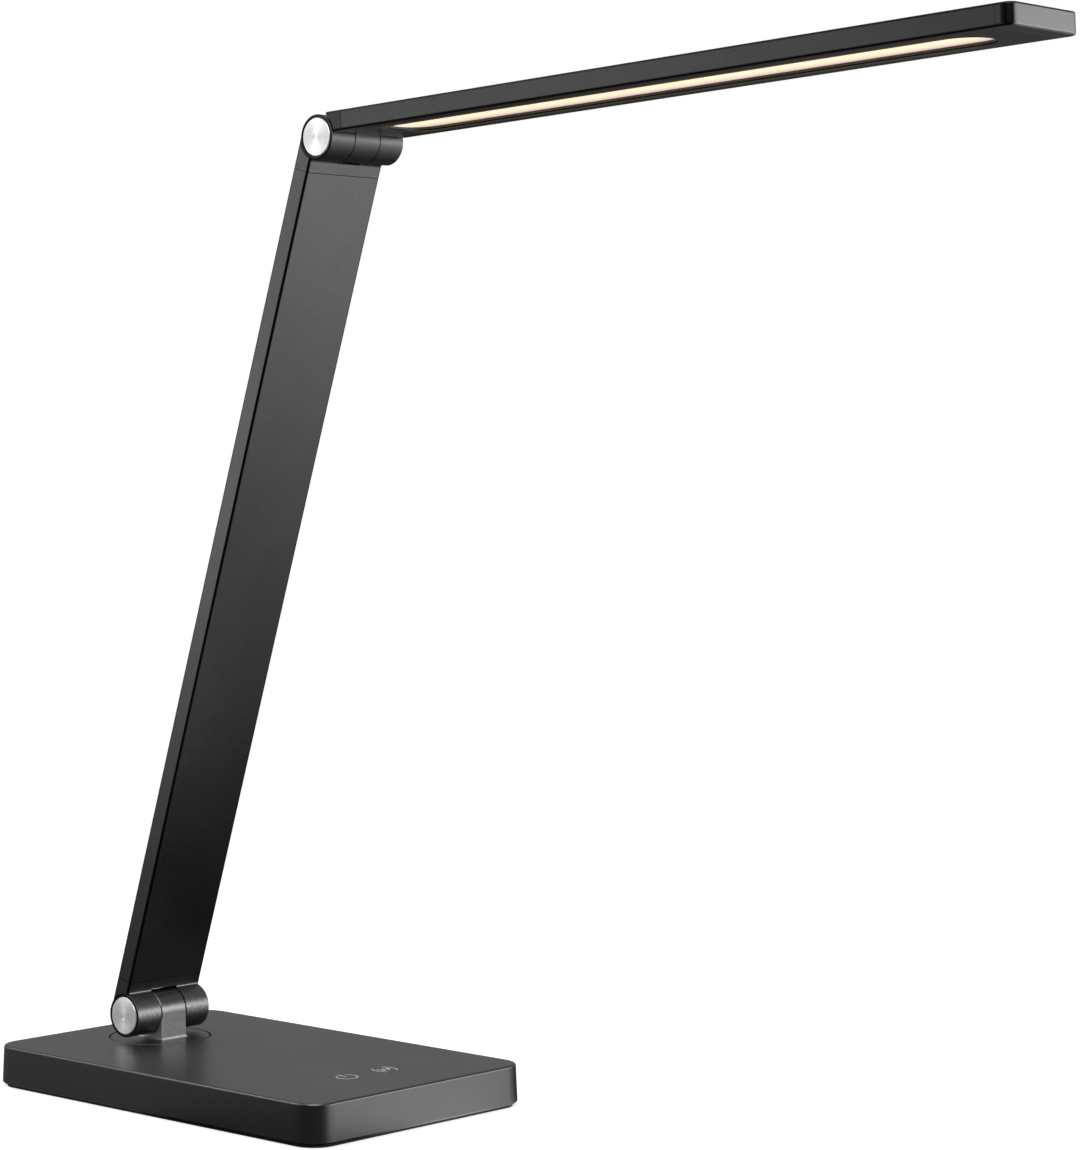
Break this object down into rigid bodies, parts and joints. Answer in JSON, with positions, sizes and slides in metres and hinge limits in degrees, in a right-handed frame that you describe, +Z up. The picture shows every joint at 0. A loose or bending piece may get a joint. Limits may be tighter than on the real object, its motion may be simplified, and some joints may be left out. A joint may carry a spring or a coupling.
{
  "type": "led table lamp",
  "caption": "Folding LED table lamp with a slim weighted base, a swivelling foot, a flat arm and a flat head that hold where they are put by friction hinges.",
  "frame": {"origin": "centre of the base's underside, which stands on the table", "axes": "+Z is up, -Y is the front, where the touch marks are and towards which the head reaches, and X runs along the two hinge axes"},
  "size_m": [0.121, 0.4813, 0.4124],
  "materials": {
    "housing_plastic": "satin",
    "cover_steel": "satin",
    "pad_rubber": "matte",
    "ballast_steel": "satin",
    "plated_steel": "satin",
    "circuit_board": "satin",
    "board_parts": "satin",
    "touch_foam": "matte",
    "inlet_plastic": "satin",
    "cable_sheath": "satin",
    "nylon": "satin",
    "black_acetal": "satin",
    "post_metal": "satin",
    "anodised_black": "satin",
    "cast_black": "satin",
    "cap_bright": "polished",
    "spring_steel": "satin",
    "opal_plastic": "satin",
    "led_board_white": "satin",
    "led_phosphor": "satin"
  },
  "bodies": {
    "base": {"base_housing": "housing_plastic", "bottom_cover": "cover_steel", "cover_screws": "plated_steel", "non_slip_pad": "pad_rubber", "ballast_plate": "ballast_steel", "control_board": "circuit_board", "board_parts": "board_parts", "board_screws": "plated_steel", "touch_pads": "touch_foam", "power_inlet": "inlet_plastic", "inlet_nut": "plated_steel", "inlet_lead": "cable_sheath", "glide_ring": "nylon", "spindle_bush": "nylon", "thrust_washer": "nylon"},
    "turntable": {"turntable_disc": "housing_plastic", "hinge_post": "post_metal", "spindle": "plated_steel", "stop_washer": "plated_steel", "spring_washer": "spring_steel", "swivel_nut": "plated_steel"},
    "arm": {"arm_tube": "anodised_black", "arm_cable": "cable_sheath", "arm_fittings": "cast_black", "hinge_axles": "plated_steel", "friction_washers": "black_acetal", "spring_discs": "spring_steel", "hinge_nuts": "plated_steel", "hinge_caps": "cap_bright"},
    "head": {"head_fitting": "cast_black", "head_channel": "anodised_black", "head_tip_cap": "cast_black", "diffuser": "opal_plastic", "led_board": "led_board_white", "leds": "led_phosphor", "head_cable": "cable_sheath"}
  },
  "joints": [
    {"name": "turntable_swivel", "type": "hinge", "parent": "base", "child": "turntable", "pos_m": [0, 0.0599, 0.0172], "axis": [0, 0, 1], "range_deg": [-90, 90]},
    {"name": "lower_hinge", "type": "hinge", "parent": "turntable", "child": "arm", "pos_m": [0, 0.0599, 0.0282], "axis": [1, 0, 0], "range_deg": [-63.1, 71.9]},
    {"name": "upper_hinge", "type": "hinge", "parent": "arm", "child": "head", "pos_m": [0, -0.05785, 0.38844], "axis": [1, 0, 0], "range_deg": [-69.3, 110.7]}
  ]
}
